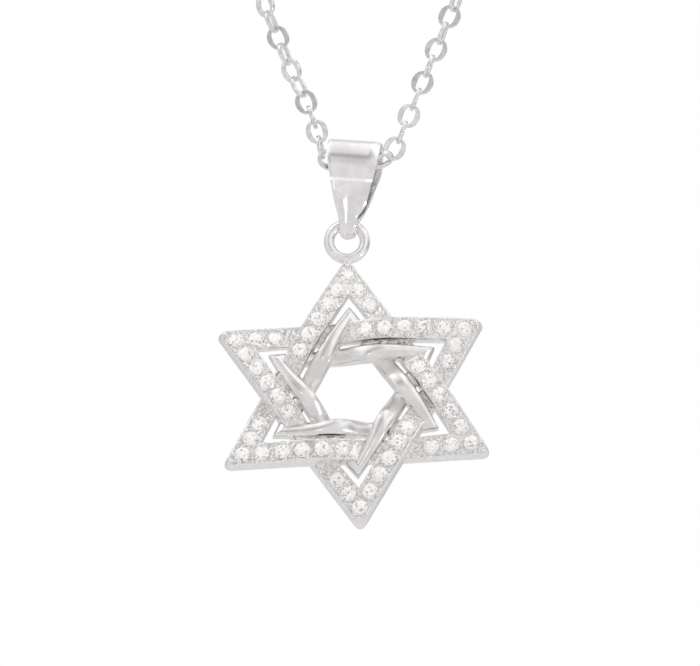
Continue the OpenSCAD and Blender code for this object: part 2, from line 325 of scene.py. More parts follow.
def band_section(k, f, sharp_top):
    """Section of the stone-set band: rounded edges, a plain rim on each side and a sunk field."""
    at_top = (k == 0 and f < 0.5) or (k == 2 and f > 0.5)
    soft = not (sharp_top and at_top)

    def at(inset, drop):
        """Point of the front, drop below it."""
        p = on_side(k, f, inset, soft and inset < BAND_OUT + RIM)
        return face_point(p, front(p) - drop)

    def behind(inset, rise):
        """Point of the back, rise in front of it."""
        p = on_side(k, f, inset, soft and inset < BAND_OUT + RIM)
        return face_point(p, back(p) + rise)

    lip = EDGE_SHARE * EDGE_R
    return [at(BAND_OUT, EDGE_R), at(BAND_OUT + lip, lip), at(BAND_OUT + EDGE_R, 0),
            at(BAND_OUT + RIM - RIM_SLOPE, 0), at(BAND_OUT + RIM + RIM_SLOPE, FIELD_DROP),
            at(STONE_LINE, FIELD_DROP),
            at(BAND_IN - RIM - INNER_FOOT, FIELD_DROP), at(BAND_IN - RIM + INNER_TOP, 0),
            at(BAND_IN - EDGE_R, 0), at(BAND_IN - lip, lip), at(BAND_IN, EDGE_R),
            behind(BAND_IN, EDGE_R), behind(BAND_IN - EDGE_R, 0),
            behind(EDGE_R, 0), behind(0, EDGE_R)]


# Points across a bar from its outer edge (-1) to its inner one (1), and how its edges round off
BAR_ROUNDS = [-1, -0.93, -0.8, -0.55, -0.28, 0, 0.28, 0.55, 0.8, 0.93, 1]
BAR_EDGE, EDGE_FROM, EDGE_RUN = 0.07, 0.8, 0.2
# How much more the bar of each side swells toward the middle of the star than outward
INNER_SWELL = [2.1, 1.4, 2.1]


def bar_section(k, f, _sharp_top):
    """Section of the polished bar: a crest that falls to both edges over upright walls."""
    swell = BAR_SWELL * middling(f) * OUTWARD[k]
    inner = on_side(k, f, BAR_IN) - INNER_SWELL[k] * swell
    outer = on_side(k, f, BAR_OUT) + swell
    middle, half = (outer + inner) / 2, (outer - inner) / 2
    top = []
    for t in BAR_ROUNDS:
        p = middle - half * t
        round_off = BAR_EDGE * max(0.0, (abs(t) - EDGE_FROM) / EDGE_RUN) ** 2
        top.append(face_point(p, front(p) - BAR_CREST * t * t - round_off))
    return top + [face_point(inner, back(inner)), face_point(outer, back(outer))]


def stone_places():
    """(side, share) of each stone of one triangle."""
    places = []
    for k in range(3):
        places += [(k, STONE_PITCH * i) for i in range(STONES_OVER + 1)]
        places += [((k + 2) % 3, 1 - STONE_PITCH * i) for i in range(1, STONES_UNDER + 1)]
    return places


# How far to each side of a point the slope of the face is taken
SLOPE_STEP = 0.05


def on_face(p, lift=0.0, spin=0.0, way=1):
    """Matrix that puts Z square to the star's front at p, for the upright or turned triangle."""
    d = SLOPE_STEP
    sx = (front(p + [d, 0]) - front(p - [d, 0])) / (2 * d)
    sz = (front(p + [0, d]) - front(p - [0, d])) / (2 * d)
    out = Vector((-sx, -1, -sz)).normalized()
    turn = out.to_track_quat("Z", "X").to_matrix().to_4x4()
    half = Matrix.Rotation(0 if way == 1 else math.pi, 4, "Y")
    return (half @ Matrix.Translation(face_point(p, front(p))) @ turn
            @ Matrix.Translation((0, 0, lift)) @ Matrix.Rotation(spin, 4, "Z"))


def turned(obj):
    """The inverted triangle is the upright one turned half round in the face."""
    obj.data.transform(Matrix.Rotation(math.pi, 4, "Y"))
    return obj


# Seat cutters: their top over the face, where the cone ends as a share of the stone's depth, and
# how far the drill runs below the stone
SEAT_TOP, CONE_SHARE, DRILL_RUN, SEAT_STEPS = 1.2, 0.8, 2, 32


def seats():
    """Cutters for the stones: a bore down to the girdle, a cone and a drilled hole."""
    r = STONE_D / 2 + SEAT_GAP / 2
    low = GIRDLE_DEPTH + PAVILION * STONE_D
    hole = r / 3
    shape = lathe([(0, SEAT_TOP), (r, SEAT_TOP), (r, -GIRDLE_DEPTH - SEAT_GAP),
                   (hole, -CONE_SHARE * low), (hole, -low - DRILL_RUN),
                   (0, -low - DRILL_RUN)][::-1], SEAT_STEPS)
    return joined("seats", [moved(shape, on_face(on_side(k, f, STONE_LINE), 0, 0, way))
                            for way in (1, -1) for k, f in stone_places()])


# Beads along the inner and outer edge of a band and in its corners: radii, then insets
BEAD_IN, BEAD_OUT = 0.23, 0.2
BEAD_IN_INSET, BEAD_OUT_INSET, BEAD_CORNER_INSET = 0.22, 0.21, 0.47
BEAD_FLAT, BEAD_LIFT, BEAD_SPREAD, BEAD_ARC, BEAD_STEPS = 0.8, 0.2, (0.9, 1.1), 9, 12
# Pits: size of their cutters, then their place after each stone and in from the edge
PIT_R, PIT_DEPTH, PIT_TOP, PIT_STEPS = 0.06, 0.14, 0.6, 10
PIT_STEP, PIT_INSET = 0.032, 0.27


def bead(r):
    """A bead raised by a graver: a ball a little flattened."""
    profile = [(r * sind(a), -r * BEAD_FLAT * cosd(a)) for a in np.linspace(0, 180, BEAD_ARC)]
    return lathe(profile, BEAD_STEPS)


def bead_places():
    """(share of side, inset, radius) of the beads that hold the stones of one triangle."""
    spots = []
    shares = [STONE_PITCH * (i + 0.5) for i in range(STONES_OVER + 1)]
    shares += [1 - STONE_PITCH * (i + 0.5) for i in range(STONES_UNDER + 1)]
    for k in range(3):
        for f in shares:
            spots += [(k, f, BAND_OUT + BEAD_OUT_INSET, BEAD_OUT),
                      (k, f, BAND_IN - BEAD_IN_INSET, BEAD_IN)]
        spots.append((k, 0.0, BEAD_CORNER_INSET, BEAD_OUT))
    return spots


def pits():
    """Cutters for the graver's small pits along the outer edge of the lowest band."""
    shape = lathe([(0, -PIT_DEPTH), (PIT_R, -PIT_DEPTH), (PIT_R, PIT_TOP), (0, PIT_TOP)],
                  PIT_STEPS)
    shares = [STONE_PITCH * i + PIT_STEP for i in range(STONES_OVER + 1)]
    shares += [1 - STONE_PITCH * i - PIT_STEP for i in range(STONES_UNDER + 1)]
    return joined("pits", [moved(shape, on_face(on_side(1, f, BAND_OUT + PIT_INSET)))
                           for f in shares])


def beads():
    """All the beads, a little uneven in size."""
    parts = []
    for way in (1, -1):
        for k, f, inset, r in bead_places():
            r *= rng.uniform(*BEAD_SPREAD)
            p = on_side(k, f, inset)
            parts.append(moved(bead(r), on_face(p, -FIELD_DROP + BEAD_LIFT * r, 0, way)))
    return parts


RING_STEPS, WIRE_STEPS = 72, 20


def star_frame():
    """Both triangles and the ring as one clean solid, with seats cut and beads raised."""
    frame_obj = None
    for way in (1, -1):
        for section in (band_section, bar_section):
            ribbon = section_loop("ribbon", [section(k, f, way == 1)
                                             for k in range(3) for f in SHARES])
            if way == -1:
                turned(ribbon)
            frame_obj = ribbon if frame_obj is None else combine(frame_obj, ribbon, "UNION")
    ring = face_outward(joined("ring", [moved(
        torus(RING_R, RING_WIRE / 2, RING_STEPS, WIRE_STEPS),
        Matrix.Translation((RING_SIDE, -RING_DEPTH, RING_OVER_STAR)))]))
    frame_obj = combine(frame_obj, ring, "UNION")
    frame_obj = combine(frame_obj, face_outward(seats()), "DIFFERENCE")
    frame_obj = combine(frame_obj, face_outward(joined("beads", beads())), "UNION")
    frame_obj = combine(frame_obj, face_outward(pits()), "DIFFERENCE")
    frame_obj.name = "star_metal"
    return frame_obj


# ---- Stones
# Shares of the stone's width: where its kites are widest, and where the lower facets end
KITE_SHARE, LOWER_SHARE, GIRDLE_T = 0.79, 0.25, 0.02
HALF_FACET = 22.5
STONE_TILT = 0.03


def brilliant():
    """Round brilliant: 8 star, 8 kite and 16 upper facets, 16 lower and 8 main ones."""
    r, rt, rm = STONE_D / 2, TABLE * STONE_D / 2, KITE_SHARE * STONE_D / 2
    hc, hp, girdle = CROWN * STONE_D, PAVILION * STONE_D, GIRDLE_T
    zm = hc * (r - rm * cosd(HALF_FACET)) / (r - rt)
    rq = LOWER_SHARE * r
    zq = -girdle - (hp - girdle) * (1 - rq * cosd(HALF_FACET) / r)

    def round_of(n, radius, z, offset):
        """n points evenly round the axis."""
        return [(radius * cosd(offset + 360 * i / n), radius * sind(offset + 360 * i / n), z)
                for i in range(n)]

    points = (round_of(8, rt, hc, 0) + round_of(8, rm, zm, HALF_FACET) + round_of(16, r, 0, 0)
              + round_of(16, r, -girdle, 0) + round_of(8, rq, zq, HALF_FACET) + [(0, 0, -hp)])
    # First point of the table, the kites, the girdle's top and foot, the lower facets, the tip
    t, m, g, h, q, c = 0, 8, 16, 32, 48, 56
    faces = [tuple(range(8))]
    for i in range(8):
        j, before = (i + 1) % 8, (i + 7) % 8
        even, odd, after = 2 * i, 2 * i + 1, (2 * i + 2) % 16
        faces += [(t + i, m + i, t + j), (t + i, m + before, g + even, m + i),
                  (m + i, g + even, g + odd), (m + i, g + odd, g + after),
                  (q + i, h + odd, h + even), (q + i, h + after, h + odd),
                  (q + i, h + even, q + before, c)]
    faces += [(g + i, h + i, h + (i + 1) % 16, g + (i + 1) % 16) for i in range(16)]
    return points, faces


def stones(name, way):
    """The stones of one triangle, each turned and tilted a little at random."""
    shape = brilliant()
    parts = []
    for k, f in stone_places():
        spin, tilt = rng.uniform(0, math.pi), rng.uniform(-STONE_TILT, STONE_TILT, 2)
        seat = on_face(on_side(k, f, STONE_LINE), -GIRDLE_DEPTH, spin, way)
        lean = Matrix.Rotation(tilt[0], 4, "X") @ Matrix.Rotation(tilt[1], 4, "Y")
        parts.append(moved(shape, seat @ lean))
    return joined(name, parts)


# ---- Bail
# Half width of the bail as a share of its top width, and the share of its height where it is so
BAIL_FLARE = [(0.215, 0.1), (0.26, 0.15), (0.33, 0.29), (0.39, 0.41), (0.48, 0.59), (0.5, 0.68),
              (0.5, 1)]
# Its smoothing: reach and samples, and how far it may pass the outline of straights
FLARE_REACH, FLARE_SAMPLES, FLARE_SLACK = 0.45, 9, 0.02
# Its rounded lower end: where that begins, how square it is, and the least value under its root
NOSE_Z, NOSE_POWER, NOSE_LEAST = -BEND_OUT_R + BAIL_LOW_W / 2, 4, 0.01
# Crown of the leaves low down: its height, where it ends, and the run over which it fades
LEAF_CROWN, LEAF_CROWN_TOP, LEAF_CROWN_RUN = 0.15, 1.85, 0.25
# Step across a leaf: its foot and top, its rise, and from where the leaf grows proud toward it
STEP_LOW, STEP_HIGH, STEP_RISE, STEP_FADE = 2.88, 3.12, 0.22, -0.3
# Sections: round the top roll, round the bend, and heights along a leaf, closer at the step
STEP_ROUND = 0.03
TOP_STEPS, BEND_STEPS = 61, 49
LEAF_Z = [-0.1, 0.1, 0.3, 0.5, 0.7, 0.9, 1.1, 1.3, 1.5, 1.7, 1.9, 2.2, 2.5, 2.7, 2.82, STEP_LOW,
          STEP_LOW + STEP_ROUND, STEP_HIGH - STEP_ROUND, STEP_HIGH, STEP_HIGH + 2 * STEP_ROUND,
          3.4, 3.6, 3.85, 4.0]
# Where across the leaf its chamfers begin, and how far they drop
CHAMFER_SHARE, CHAMFER_DROP = 0.92, 0.05
# How much wider the front leaf's outer face is on its left and right, and the right one's bevel
LIP_Z = [-1.04, -0.76, -0.39, 0.26, 0.6, 0.9, 1.43, 2.1, 2.75, 3.6, 4.9]
LIP_LEFT = [-0.05, -0.16, -0.04, 0.1, 0.06, 0.04, 0, 0, 0, 0, 0]
LIP_RIGHT = [0.05, 0.12, 0.18, 0.2, 0.27, 0.31, 0.28, 0.26, 0.2, 0.14, 0]
LIP_SHARE, LIP_DROP = 0.83, 0.1
# How much narrower the back leaf's inner face is where the star's ring swings past it
RELIEF_Z, RELIEF = [-0.9, -0.5, 0.6, 1.0], [0, 0.17, 0.17, 0]
# Points across the outer face as shares of its half width, and the inner face with its rims
HALF_ACROSS = [-1, -0.98, -CHAMFER_SHARE, -LIP_SHARE, -0.6, -0.4, -0.2, 0]
ACROSS = HALF_ACROSS + [-v for v in HALF_ACROSS[-2::-1]]
INNER_EDGE, INNER_HALF, RIM_DEPTH = 0.96, 0.5, 0.1


def bail_half_width(z):
    """Half width of the bail at a height over the middle of its bend, as its outline in CAD."""
    if z < NOSE_Z:
        depth = min(1.0, (NOSE_Z - z) / (BAIL_LOW_W / 2))
        return BAIL_LOW_W / 2 * max(NOSE_LEAST, 1 - depth ** NOSE_POWER) ** (1 / NOSE_POWER)
    zs = [NOSE_Z, RING_WIRE / 2] + [s[1] * BAIL_H for s in BAIL_FLARE]
    ws = [BAIL_LOW_W / 2] * 2 + [s[0] * BAIL_TOP_W for s in BAIL_FLARE]
    reach = min(FLARE_REACH, z - NOSE_Z)
    near = np.linspace(z - reach, z + reach, FLARE_SAMPLES)
    smooth, exact = float(np.interp(near, zs, ws).mean()), float(np.interp(z, zs, ws))
    return min(smooth, exact + FLARE_SLACK)


def bail_stations():
    """Outer side outline as (y, z, direction), once round from the back."""
    tilt = math.degrees(math.asin((BAIL_TOP_R - BEND_OUT_R) / BAIL_TOP_Z))

    def arc(r, z, a0, a1, n):
        """n points of an arc round height z."""
        return [(r * cosd(a), z + r * sind(a), a) for a in np.linspace(a0, a1, n)]

    def between(a, b, zs):
        """Points on the straight from a to b at heights zs."""
        run = [(z - a[1]) / (b[1] - a[1]) for z in zs]
        return [tuple(np.array(a) + (np.array(b) - np.array(a)) * t) for t in run]

    top = arc(BAIL_TOP_R, BAIL_TOP_Z, -tilt, 180 + tilt, TOP_STEPS)
    low = arc(BEND_OUT_R, 0, 180 + tilt, 360 - tilt, BEND_STEPS)
    last = (low[-1][0], low[-1][1], low[-1][2] - 360)
    return top + between(top[-1], low[0], LEAF_Z[::-1]) + low + between(last, top[0], LEAF_Z)


def leaf_step(z):
    """The lower part of a leaf stands a little proud of its rolled top."""
    return float(np.interp(z, [STEP_FADE, STEP_LOW, STEP_HIGH], [0, STEP_RISE, 0]))


def bail_outer(y, z, n):
    """Outer face of a section: the step, the crown low down, and chamfers or the bevelled lip."""
    crown = LEAF_CROWN * np.clip((LEAF_CROWN_TOP - z) / LEAF_CROWN_RUN, 0, 1)
    outline = np.array([y, z]) + leaf_step(z) * n
    outer = []
    for v in ACROSS:
        w = bail_half_width(outline[1])
        share, drop = CHAMFER_SHARE, CHAMFER_DROP
        if y < 0:
            w += float(np.interp(outline[1], LIP_Z, LIP_RIGHT if v > 0 else LIP_LEFT))
            if v > 0:
                share, drop = LIP_SHARE, LIP_DROP
        chamfer = drop * max(0.0, (abs(v) - share) / (1 - share))
        p = outline - (crown * v * v + chamfer) * n
        outer.append((w * v, p[0], p[1]))
    return outer


def bail_inner(y, z, n):
    """Inner face of a section with its rims, relieved at the back where the ring swings."""
    under = np.array([y, z]) - BAIL_SHEET * n
    w = bail_half_width(under[1])
    relief = float(np.interp(z, RELIEF_Z, RELIEF)) if y > 0 else 0
    inner = [(w * v, under[0], under[1])
             for v in (INNER_EDGE - relief, INNER_HALF, 0, -INNER_HALF, relief - INNER_EDGE)]
    rim = np.array([y, z]) - (BAIL_SHEET - RIM_DEPTH) * n
    w *= 1 - relief / 2
    return [(w, rim[0], rim[1])] + inner + [(-w, rim[0], rim[1])]


def bail():
    """Folded sheet bail, as one closed loop of sections."""
    sections = []
    for y, z, a in bail_stations():
        n = np.array([cosd(a), sind(a)])
        sections.append(bail_outer(y, z, n) + bail_inner(y, z, n))
    return section_loop("bail_leaf", sections)


# ---- Chain
# Length and width of a link and of its hole, and its thickness; then the spacing of the joints
LINK_L, LINK_W, HOLE_L, HOLE_W, LINK_T = 1.86, 1.66, 1.43, 0.86, 0.27
PITCH = 1.39
# Steps round a link, and how square its hole and its rim are
LINK_STEPS, HOLE_POWER, RIM_POWER = 20, 2.5, 2.1
# Section of a link's wire: share of the way from hole to rim, and height in half thicknesses
LINK_SECTION = [(0, -0.6), (0, 0.6), (0.12, 1), (0.9, 1), (1, 0.6), (1, -0.6), (0.9, -1),
                (0.12, -1)]


def link():
    """A flat oval link: its length along X, its width along Y."""
    def oval(a, half_l, half_w, power):
        """Point at angle a of an oval that is squarer with a higher power."""
        c, s = cosd(a), sind(a)
        return np.array([half_l * math.copysign(abs(c) ** (2 / power), c),
                         half_w * math.copysign(abs(s) ** (2 / power), s)])

    points = []
    for i in range(LINK_STEPS):
        a = 360 * (i + 0.5) / LINK_STEPS
        hole = oval(a, HOLE_L / 2, HOLE_W / 2, HOLE_POWER)
        rim = oval(a, LINK_L / 2, LINK_W / 2, RIM_POWER)
        for share, h in LINK_SECTION:
            p = hole + (rim - hole) * share
            points.append((p[0], p[1], h * LINK_T / 2))
    return np.array(points), loop_faces(LINK_STEPS, len(LINK_SECTION))


def half_loop(s):
    """The CAD chain's middle line at length s up from its lowest point: x, height, heading."""
    if s <= RUN:
        return s, 0.0, 0.0
    if s <= RUN + BEND_LEN:
        a = math.degrees((s - RUN) / CHAIN_BEND_R)
        return RUN + CHAIN_BEND_R * sind(a), CHAIN_BEND_R * (1 - cosd(a)), a
    if s <= RUN + BEND_LEN + STRAND_LEN:
        x, z, _ = half_loop(RUN + BEND_LEN)
        t = s - RUN - BEND_LEN
        return x + t * sind(STRAND_ANGLE), z + t * cosd(STRAND_ANGLE), TURN_OUT
    x, z, _ = half_loop(RUN + BEND_LEN + STRAND_LEN)
    a = math.degrees((s - RUN - BEND_LEN - STRAND_LEN) / LOOP_R)
    return (x + LOOP_R * (sind(TURN_OUT + a) - sind(TURN_OUT)),
            z + LOOP_R * (cosd(TURN_OUT) - cosd(TURN_OUT + a)), TURN_OUT + a)


# How far the left strand hangs nearer to the bail than the middle of the CAD tube
LEFT_S = [0, 1.5, 3.0, 3.6, 4.2, 4.7, 5.4, 7.2, 8.5, 9.9, 11.3, 12.7, 14.1, 15.5, 17, 45, 90,
          126, 230]
LEFT_IN = [0, 0, 0.1, 0.25, 0.48, 0.6, 0.64, 0.69, 0.65, 0.6, 0.4, 0.7, 0.38, 0.7, 0.6, 0.5, 0.25,
           0, 0]
PATH_STEP = 0.02


def chain_path(side, end):
    """Fine polyline of one side, from the lowest point to length end."""
    ss = np.arange(0, end + PATH_STEP / 2, PATH_STEP)
    pts = []
    for s in ss:
        x, z, _ = half_loop(min(s, CHAIN_LENGTH / 2))
        shift = float(np.interp(s, LEFT_S, LEFT_IN)) if side < 0 else 0.0
        pts.append((side * (x - shift), CHAIN_LOW_Z + z))
    return np.array(pts)


def along(path, distances):
    """Points at given lengths along a polyline, and its whole length."""
    step = np.linalg.norm(np.diff(path, axis=0), axis=1)
    run = np.concatenate([[0], np.cumsum(step)])
    return np.stack([np.interp(distances, run, path[:, i]) for i in (0, 1)], axis=1), run[-1]


# Length up each strand where its first joint lies, and the closer spacings after the left one
RIGHT_FIRST, LEFT_FIRST = 2.76, 4.12
LEFT_SLACK = [1.2, 1.2, 1.3]
# How far the end links stand off the clasp's ring and eye
RING_EASE, EYE_EASE = 0.14, 0.06
CLASP_EYE_X = (CLASP_D + EYE_D) / 2 - EYE_SINK
# Turn of the links about each strand, by length along it, and how far each may stray from it
LEFT_TWIST_S = [0, 4, 6.5, 8.3, 9.8, 11.1, 12.5, 14, 16, 30, 60, 120, 200, 225]
LEFT_TWIST = [0, 0, 5, 36, 40, 26, 16, 26, 46, 60, 30, -20, 10, 0]
RIGHT_TWIST_S = [0, 4, 8, 14, 40, 90, 150, 200, 225]
RIGHT_TWIST = [0, -4, 4, 12, 30, -25, 15, -5, 0]
WOBBLE = 6
# Turns of the links inside the bail, from left to right
BAIL_ROLLS = (78, 8, 90, -8, 112)


def chain_joints(side, first, slack, end_x):
    """Joints between links on one side, up to the clasp; the slack spacings come first."""
    path = chain_path(side, CHAIN_LENGTH / 2)
    keep = path[:, 0] * side > end_x
    stop = len(path) - 1
    while not keep[stop]:
        stop -= 1
    path = path[:stop + 1]
    _, total = along(path, [0])
    near = first + np.concatenate([[0], np.cumsum(slack)])
    count = 2 * round((total - first) / PITCH / 2) - len(slack)
    far = near[-1] + (total - near[-1]) * np.arange(1, count + 1) / count
    return along(path, np.concatenate([near, far]))[0]


def joints_in_bail(left, right):
    """Joints of the links inside the bail, from the left strand's first joint to the right's."""
    low_r, low_l = chain_path(1, RIGHT_FIRST + 1), chain_path(-1, LEFT_FIRST + 1)
    inner = np.concatenate([low_l[::-1], low_r[1:]])
    a = np.argmin(np.linalg.norm(inner - left[0], axis=1))
    b = np.argmin(np.linalg.norm(inner - right[0], axis=1))
    middle = inner[a:b + 1]
    _, total = along(middle, [0])
    count = len(BAIL_ROLLS)
    return along(middle, total * np.arange(count + 1) / count)[0]


def chain_links():
    """The chain as real links, each passing through the next, from eye to clasp."""
    right = chain_joints(1, RIGHT_FIRST, [], CLASP_D / 2 - CLASP_WIRE - RING_EASE)
    left = chain_joints(-1, LEFT_FIRST, LEFT_SLACK, CLASP_EYE_X + EYE_D / 2 - EYE_WIRE - EYE_EASE)
    through = joints_in_bail(left, right)
    template, faces = link()
    points, all_faces = [], []

    def place(p, q, roll):
        """Adds the link between two joints, turned about the line between them."""
        p, q = Vector((p[0], 0, p[1])), Vector((q[0], 0, q[1]))
        t = (q - p).normalized()
        y = Vector((0, 1, 0))
        n = t.cross(y)
        w = n * cosd(roll) + y * sind(roll)
        h = t.cross(w)
        turn = np.array([t, w, h])
        base = len(points)
        points.extend(template @ turn + np.array((p + q) / 2))
        all_faces.extend(tuple(i + base for i in f) for f in faces)

    for joints, s0, knots, turns in ((right, RIGHT_FIRST, RIGHT_TWIST_S, RIGHT_TWIST),
                                     (left, LEFT_FIRST, LEFT_TWIST_S, LEFT_TWIST)):
        for i in range(len(joints) - 1):
            drift = float(np.interp(s0 + PITCH * i, knots, turns))
            wobble = rng.uniform(-WOBBLE, WOBBLE) if 0 < i < len(joints) - 2 else 0
            place(joints[i], joints[i + 1], 90 * (i % 2) + drift + wobble)
    for i, roll in enumerate(BAIL_ROLLS):
        place(through[i], through[i + 1], roll)
    return mesh_object("chain_links", points, all_faces)


# ---- Clasp
EYE_STEPS, EYE_WIRE_STEPS, TURNED_STEPS = 40, 14, 24
# Domed head of the thumb pin: share of its radius, and depth under its top
PIN_HEAD = [(1, 0.2), (0.86, 0.07), (0.5, 0)]
# Collars round the wire: their angles from its top, height over it, half widths and bevel
COLLAR_ANGLES = (12, 62, 118)
COLLAR_PROUD, COLLAR_HALF, COLLAR_FLAT, COLLAR_BEVEL = 0.05, 0.14, 0.1, 0.03


def on_clasp(angle):
    """Matrix to the middle of the clasp's wire, at an angle from its top."""
    return (Matrix.Rotation(math.radians(angle), 4, "Y")
            @ Matrix.Translation((0, 0, (CLASP_D - CLASP_WIRE) / 2)))


def clasp():
    """Ring clasp with its eye, a thumb pin with a domed head and the collars of its bolt."""
    r, wire = (CLASP_D - CLASP_WIRE) / 2, CLASP_WIRE / 2
    body = face_outward(joined("clasp_ring", [torus(r, wire, RING_STEPS, WIRE_STEPS)]))
    eye = torus((EYE_D - EYE_WIRE) / 2, EYE_WIRE / 2, EYE_STEPS, EYE_WIRE_STEPS)
    eye = moved(eye, Matrix.Translation((-CLASP_EYE_X, 0, 0)))
    combine(body, face_outward(joined("eye", [eye])), "UNION")
    rp = TRIGGER_D / 2
    pin = lathe([(0, 0), (rp, 0)] + [(rp * share, TRIGGER_H - drop) for share, drop in PIN_HEAD]
                + [(0, TRIGGER_H)], TURNED_STEPS)
    combine(body, face_outward(joined("pin", [moved(pin, on_clasp(TRIGGER_ANGLE))])), "UNION")
    rc = wire + COLLAR_PROUD
    collar = lathe([(0, -COLLAR_HALF), (rc - COLLAR_BEVEL, -COLLAR_HALF), (rc, -COLLAR_FLAT),
                    (rc, COLLAR_FLAT), (rc - COLLAR_BEVEL, COLLAR_HALF), (0, COLLAR_HALF)],
                   TURNED_STEPS)
    for angle in COLLAR_ANGLES:
        at = on_clasp(angle) @ Matrix.Rotation(math.pi / 2, 4, "Y")
        combine(body, face_outward(joined("collar", [moved(collar, at)])), "UNION")
    body.name = "clasp_body"
    return body


# ---- Materials
def new_material(name):
    """A material with its nodes, links and main shader."""
    mat = bpy.data.materials.new(name)
    mat.use_nodes = True
    nodes = mat.node_tree.nodes
    return mat, nodes, mat.node_tree.links, nodes["Principled BSDF"]


def noise(nodes, links, coords, scale, detail=3.0):
    """Noise over the coordinates, around 0.5."""
    node = nodes.new("ShaderNodeTexNoise")
    node.inputs["Scale"].default_value = scale
    node.inputs["Detail"].default_value = detail
    links.new(coords, node.inputs["Vector"])
    return node.outputs["Fac"]


def spread(nodes, links, value, low, high, from_low=0.3, from_high=0.7):
    """The value stretched from one range to another and held at its ends."""
    node = nodes.new("ShaderNodeMapRange")
    for socket, v in zip(("From Min", "From Max", "To Min", "To Max"),
                         (from_low, from_high, low, high)):
        node.inputs[socket].default_value = v
    links.new(value, node.inputs["Value"])
    return node.outputs["Result"]


def bump(nodes, links, height, distance, strength, normal=None):
    """Normal tilted by a height, on top of another normal where one is given."""
    node = nodes.new("ShaderNodeBump")
    node.inputs["Distance"].default_value = distance
    node.inputs["Strength"].default_value = strength
    links.new(height, node.inputs["Height"])
    if normal is not None:
        links.new(normal, node.inputs["Normal"])
    return node.outputs["Normal"]


# Noise levels where a metal's darker tone ends and its own tone begins
MOTTLE_LOW, MOTTLE_HIGH = 0.38, 0.6


def mottle(nodes, links, coords, tone, dark, scale):
    """Base colour that drifts between a metal's tone and a darker share of it."""
    ramp = nodes.new("ShaderNodeValToRGB")
    elements = ramp.color_ramp.elements
    elements[0].color, elements[1].color = (*[c * dark for c in tone], 1), (*tone, 1)
    elements[0].position, elements[1].position = MOTTLE_LOW, MOTTLE_HIGH
    links.new(noise(nodes, links, coords, scale), ramp.inputs["Fac"])
    return ramp.outputs["Color"]


# Scales are in cycles per metre and depths in metres, as the shaders see the frame
POLISH_SCALE, POLISH_LOW, POLISH_HIGH = 2500, 0.75, 1.35
SCRATCH_STRETCH, SCRATCH_TURN = (1.0, 1.0, 0.12), (0.3, 0.9, 0.2)
SCRATCH_SCALE, SCRATCH_DEPTH, SCRATCH_STRENGTH = 9000, 0.00001, 0.2
GRAIN_SCALE, GRAIN_DEPTH = 4200, 0.00008


def silver(name, tone, rough, grain=0.0, dark=0.9, mottle_scale=900):
    """White metal: tone and polish drift, fine scratches, and a grain where it isn't polished."""
    mat, nodes, links, bsdf = new_material(name)
    coords = nodes.new("ShaderNodeTexCoord").outputs["Object"]
    bsdf.inputs["Metallic"].default_value = 1.0
    links.new(mottle(nodes, links, coords, tone, dark, mottle_scale), bsdf.inputs["Base Color"])
    polish = noise(nodes, links, coords, POLISH_SCALE)
    links.new(spread(nodes, links, polish, rough * POLISH_LOW, rough * POLISH_HIGH),
              bsdf.inputs["Roughness"])
    stretch = nodes.new("ShaderNodeMapping")
    stretch.inputs["Scale"].default_value = SCRATCH_STRETCH
    stretch.inputs["Rotation"].default_value = SCRATCH_TURN
    links.new(coords, stretch.inputs["Vector"])
    lines = noise(nodes, links, stretch.outputs["Vector"], SCRATCH_SCALE, 2.0)
    normal = bump(nodes, links, lines, SCRATCH_DEPTH, SCRATCH_STRENGTH)
    if grain > 0:
        cells = nodes.new("ShaderNodeTexVoronoi")
        cells.inputs["Scale"].default_value = GRAIN_SCALE
        links.new(coords, cells.inputs["Vector"])
        normal = bump(nodes, links, cells.outputs["Distance"], GRAIN_DEPTH, grain, normal)
    links.new(normal, bsdf.inputs["Normal"])
    return mat


# Painted flashes of a stone: tones along a ramp, dark and bright for painted reflections of its
# facets, with a faint warm, rosy, yellowish and bluish one for painted fire
PAINTED_FLASH_TONES = [(0.0, (0.3, 0.29, 0.29)), (0.37, (0.46, 0.45, 0.45)), (0.41, (0.82, 0.82, 0.83)),
               (0.46, (0.97, 0.95, 0.92)), (0.53, (0.82, 0.75, 0.76)), (0.58, (0.97, 0.98, 0.88)),
               (0.64, (0.76, 0.76, 0.82)), (0.7, (0.98, 0.98, 0.98))]
# Strength of a painted glow: the stones' flash colours emitted, standing in for light they send
# back out through their crowns
STONE_PAINTED_GLOW = 0.11
STONE_CLEAR, STONE_IOR, STONE_ROUGH = 0.06, 1.75, 0.03
# Painted flash pattern: size of its cells, how far each facet's normal turns it, and its noise
# scale
PAINTED_FLASH_CELLS, PAINTED_FLASH_TURN, PAINTED_FLASH_SCALE = 6400, 5.0, 1.6


